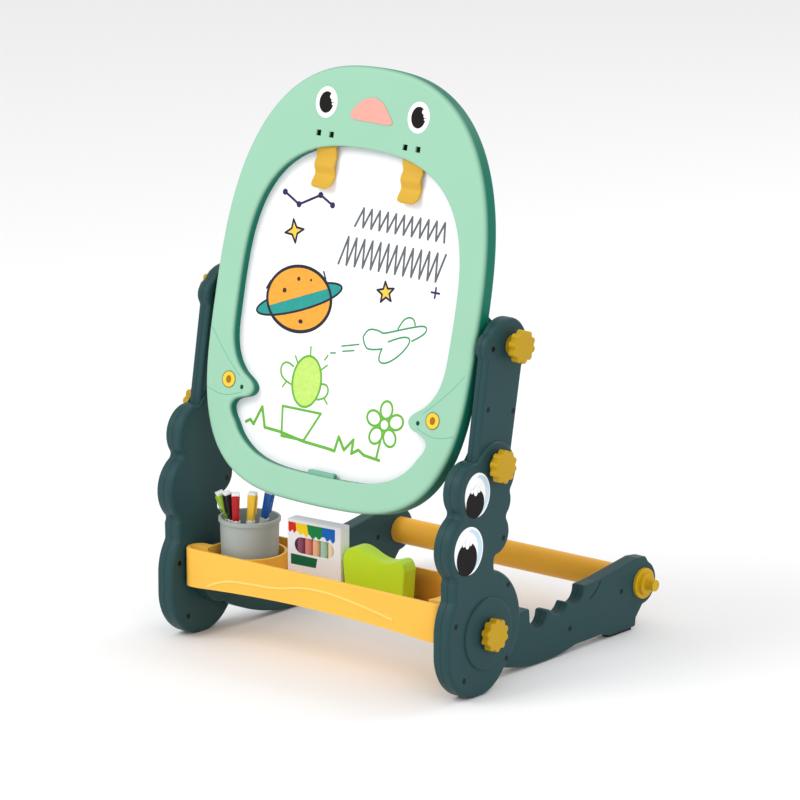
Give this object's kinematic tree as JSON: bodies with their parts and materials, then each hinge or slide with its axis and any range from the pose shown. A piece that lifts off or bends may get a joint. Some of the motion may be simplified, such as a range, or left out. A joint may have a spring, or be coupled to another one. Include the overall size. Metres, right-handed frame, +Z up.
{
  "type": "kids table easel",
  "caption": "Tabletop children's easel: tilting two-sided board with an animal-face frame, knobbed arms, lobed legs, folding rear frame and a stocked tray.",
  "frame": {"origin": "on the ground, at the middle of the width and the depth", "axes": "+X to the right side seen from the front, -Y the front, +Z up"},
  "size_m": [0.41, 0.37, 0.6],
  "materials": {
    "mint_plastic": "satin moulded plastic",
    "teal_plastic": "fine-textured moulded plastic",
    "knob_plastic": "satin moulded plastic",
    "orange_plastic": "satin moulded plastic",
    "clip_plastic": "satin moulded plastic",
    "white_sheet": "glossy writing sheet",
    "black_sheet": "matt chalk sheet",
    "eye_white": "printed plate",
    "eye_black": "printed plate",
    "eye_yellow": "printed plate",
    "nose_pink": "printed plate",
    "steel": "zinc plated",
    "pad_rubber": "matt",
    "washer_plastic": "matt",
    "cup_plastic": "satin moulded plastic",
    "pen_white": "gloss",
    "pen_green": "gloss",
    "pen_black": "gloss",
    "pen_red": "gloss",
    "pen_yellow": "gloss",
    "pen_blue": "gloss",
    "carton": "printed card",
    "chalk": "chalk",
    "eraser_plastic": "satin",
    "felt": "pressed felt"
  },
  "bodies": {
    "front_legs": {"leg_left_outer": "teal_plastic", "leg_left_inner": "teal_plastic", "leg_right_outer": "teal_plastic", "leg_right_inner": "teal_plastic", "leg_hub_discs": "teal_plastic", "leg_screws": "steel", "leg_eye_whites": "eye_white", "leg_eye_pupils": "eye_black", "drawing_tray": "orange_plastic", "tray_screws": "steel"},
    "arms": {"arm_left_outer": "teal_plastic", "arm_left_inner": "teal_plastic", "arm_right_outer": "teal_plastic", "arm_right_inner": "teal_plastic", "arm_screws": "steel", "board_washers": "washer_plastic", "arm_bolts": "steel"},
    "board": {"board_frame_front": "mint_plastic", "board_frame_rear": "mint_plastic", "whiteboard_sheet": "white_sheet", "blackboard_sheet": "black_sheet", "board_eye_whites": "eye_white", "board_eye_pupils": "eye_black", "head_eyes": "eye_yellow", "board_nose": "nose_pink", "board_screws": "steel", "clip_pins": "steel", "board_bolts": "steel"},
    "rear_frame": {"rear_leg_left_outer": "teal_plastic", "rear_leg_left_inner": "teal_plastic", "rear_leg_right_outer": "teal_plastic", "rear_leg_right_inner": "teal_plastic", "rear_leg_screws": "steel", "rear_bar": "orange_plastic", "bar_caps": "knob_plastic", "foot_pads": "pad_rubber", "rear_bolts": "steel"},
    "clip_left": {"clip_left": "clip_plastic"},
    "clip_right": {"clip_right": "clip_plastic"},
    "pen_cup": {"pen_cup": "cup_plastic"},
    "chalk_box": {"chalk_box": "carton", "chalk_sticks": "chalk"},
    "eraser": {"eraser_body": "eraser_plastic", "eraser_felt": "felt"},
    "knob_top_left": {"knob_top_left": "knob_plastic"},
    "knob_top_right": {"knob_top_right": "knob_plastic"},
    "knob_middle_left": {"knob_middle_left": "knob_plastic"},
    "knob_middle_right": {"knob_middle_right": "knob_plastic"},
    "knob_bottom_left": {"knob_bottom_left": "knob_plastic"},
    "knob_bottom_right": {"knob_bottom_right": "knob_plastic"},
    "marker_green": {"marker_green_barrel": "pen_white", "marker_green_cap": "pen_green"},
    "marker_black": {"marker_black_barrel": "pen_white", "marker_black_cap": "pen_black"},
    "marker_red": {"marker_red_barrel": "pen_white", "marker_red_cap": "pen_red"},
    "marker_yellow": {"marker_yellow_barrel": "pen_white", "marker_yellow_cap": "pen_yellow"},
    "marker_blue": {"marker_blue_barrel": "pen_white", "marker_blue_cap": "pen_blue"}
  },
  "joints": [
    {"name": "arm_tilt", "type": "hinge", "parent": "front_legs", "child": "arms", "pos_m": [0, -0.1105, 0.2335], "axis": [-1, 0, 0], "range_deg": [-10, 15]},
    {"name": "board_tilt", "type": "hinge", "parent": "arms", "child": "board", "pos_m": [0, -0.082, 0.35], "axis": [-1, 0, 0], "range_deg": [-8, 150]},
    {"name": "rear_fold", "type": "hinge", "parent": "front_legs", "child": "rear_frame", "pos_m": [0, -0.123, 0.063], "axis": [-1, 0, 0], "range_deg": [-60, 0]},
    {"name": "knob_top_left_turn", "type": "hinge", "parent": "board", "child": "knob_top_left", "pos_m": [-0.2, -0.082, 0.35], "axis": [-1, 0, 0], "continuous": true},
    {"name": "knob_top_right_turn", "type": "hinge", "parent": "board", "child": "knob_top_right", "pos_m": [0.2, -0.082, 0.35], "axis": [1, 0, 0], "continuous": true},
    {"name": "knob_middle_left_turn", "type": "hinge", "parent": "arms", "child": "knob_middle_left", "pos_m": [-0.2, -0.1105, 0.2335], "axis": [-1, 0, 0], "continuous": true},
    {"name": "knob_middle_right_turn", "type": "hinge", "parent": "arms", "child": "knob_middle_right", "pos_m": [0.2, -0.1105, 0.2335], "axis": [1, 0, 0], "continuous": true},
    {"name": "knob_bottom_left_turn", "type": "hinge", "parent": "rear_frame", "child": "knob_bottom_left", "pos_m": [-0.2, -0.123, 0.063], "axis": [-1, 0, 0], "continuous": true},
    {"name": "knob_bottom_right_turn", "type": "hinge", "parent": "rear_frame", "child": "knob_bottom_right", "pos_m": [0.2, -0.123, 0.063], "axis": [1, 0, 0], "continuous": true},
    {"name": "clip_left_lift", "type": "hinge", "parent": "board", "child": "clip_left", "pos_m": [-0.0557, -0.07049, 0.52077], "axis": [-1, 0, 0], "range_deg": [0, 10], "stiffness_Nm_per_rad": 0.15, "springref_deg": -8.59},
    {"name": "clip_right_lift", "type": "hinge", "parent": "board", "child": "clip_right", "pos_m": [0.0557, -0.07049, 0.52077], "axis": [-1, 0, 0], "range_deg": [0, 10], "stiffness_Nm_per_rad": 0.15, "springref_deg": -8.59},
    {"name": "cup_lift", "type": "slide", "parent": "front_legs", "child": "pen_cup", "axis": [0, 0, 1], "range_m": [0, 0.014]},
    {"name": "marker_green_pull", "type": "slide", "parent": "pen_cup", "child": "marker_green", "axis": [-0.1909, -0.2758, 0.9421], "range_m": [0, 0.014]},
    {"name": "marker_black_pull", "type": "slide", "parent": "pen_cup", "child": "marker_black", "axis": [-0.081, -0.1605, 0.9837], "range_m": [0, 0.014]},
    {"name": "marker_red_pull", "type": "slide", "parent": "pen_cup", "child": "marker_red", "axis": [0.0366, -0.0453, 0.9983], "range_m": [0, 0.014]},
    {"name": "marker_yellow_pull", "type": "slide", "parent": "pen_cup", "child": "marker_yellow", "axis": [0.0738, 0.0277, 0.9969], "range_m": [0, 0.014]},
    {"name": "marker_blue_pull", "type": "slide", "parent": "pen_cup", "child": "marker_blue", "axis": [0.1982, 0.0661, 0.9779], "range_m": [0, 0.014]},
    {"name": "chalk_box_lift", "type": "slide", "parent": "front_legs", "child": "chalk_box", "axis": [0, 0, 1], "range_m": [0, 0.06]},
    {"name": "eraser_lift", "type": "slide", "parent": "front_legs", "child": "eraser", "axis": [0, 0, 1], "range_m": [0, 0.06]}
  ]
}
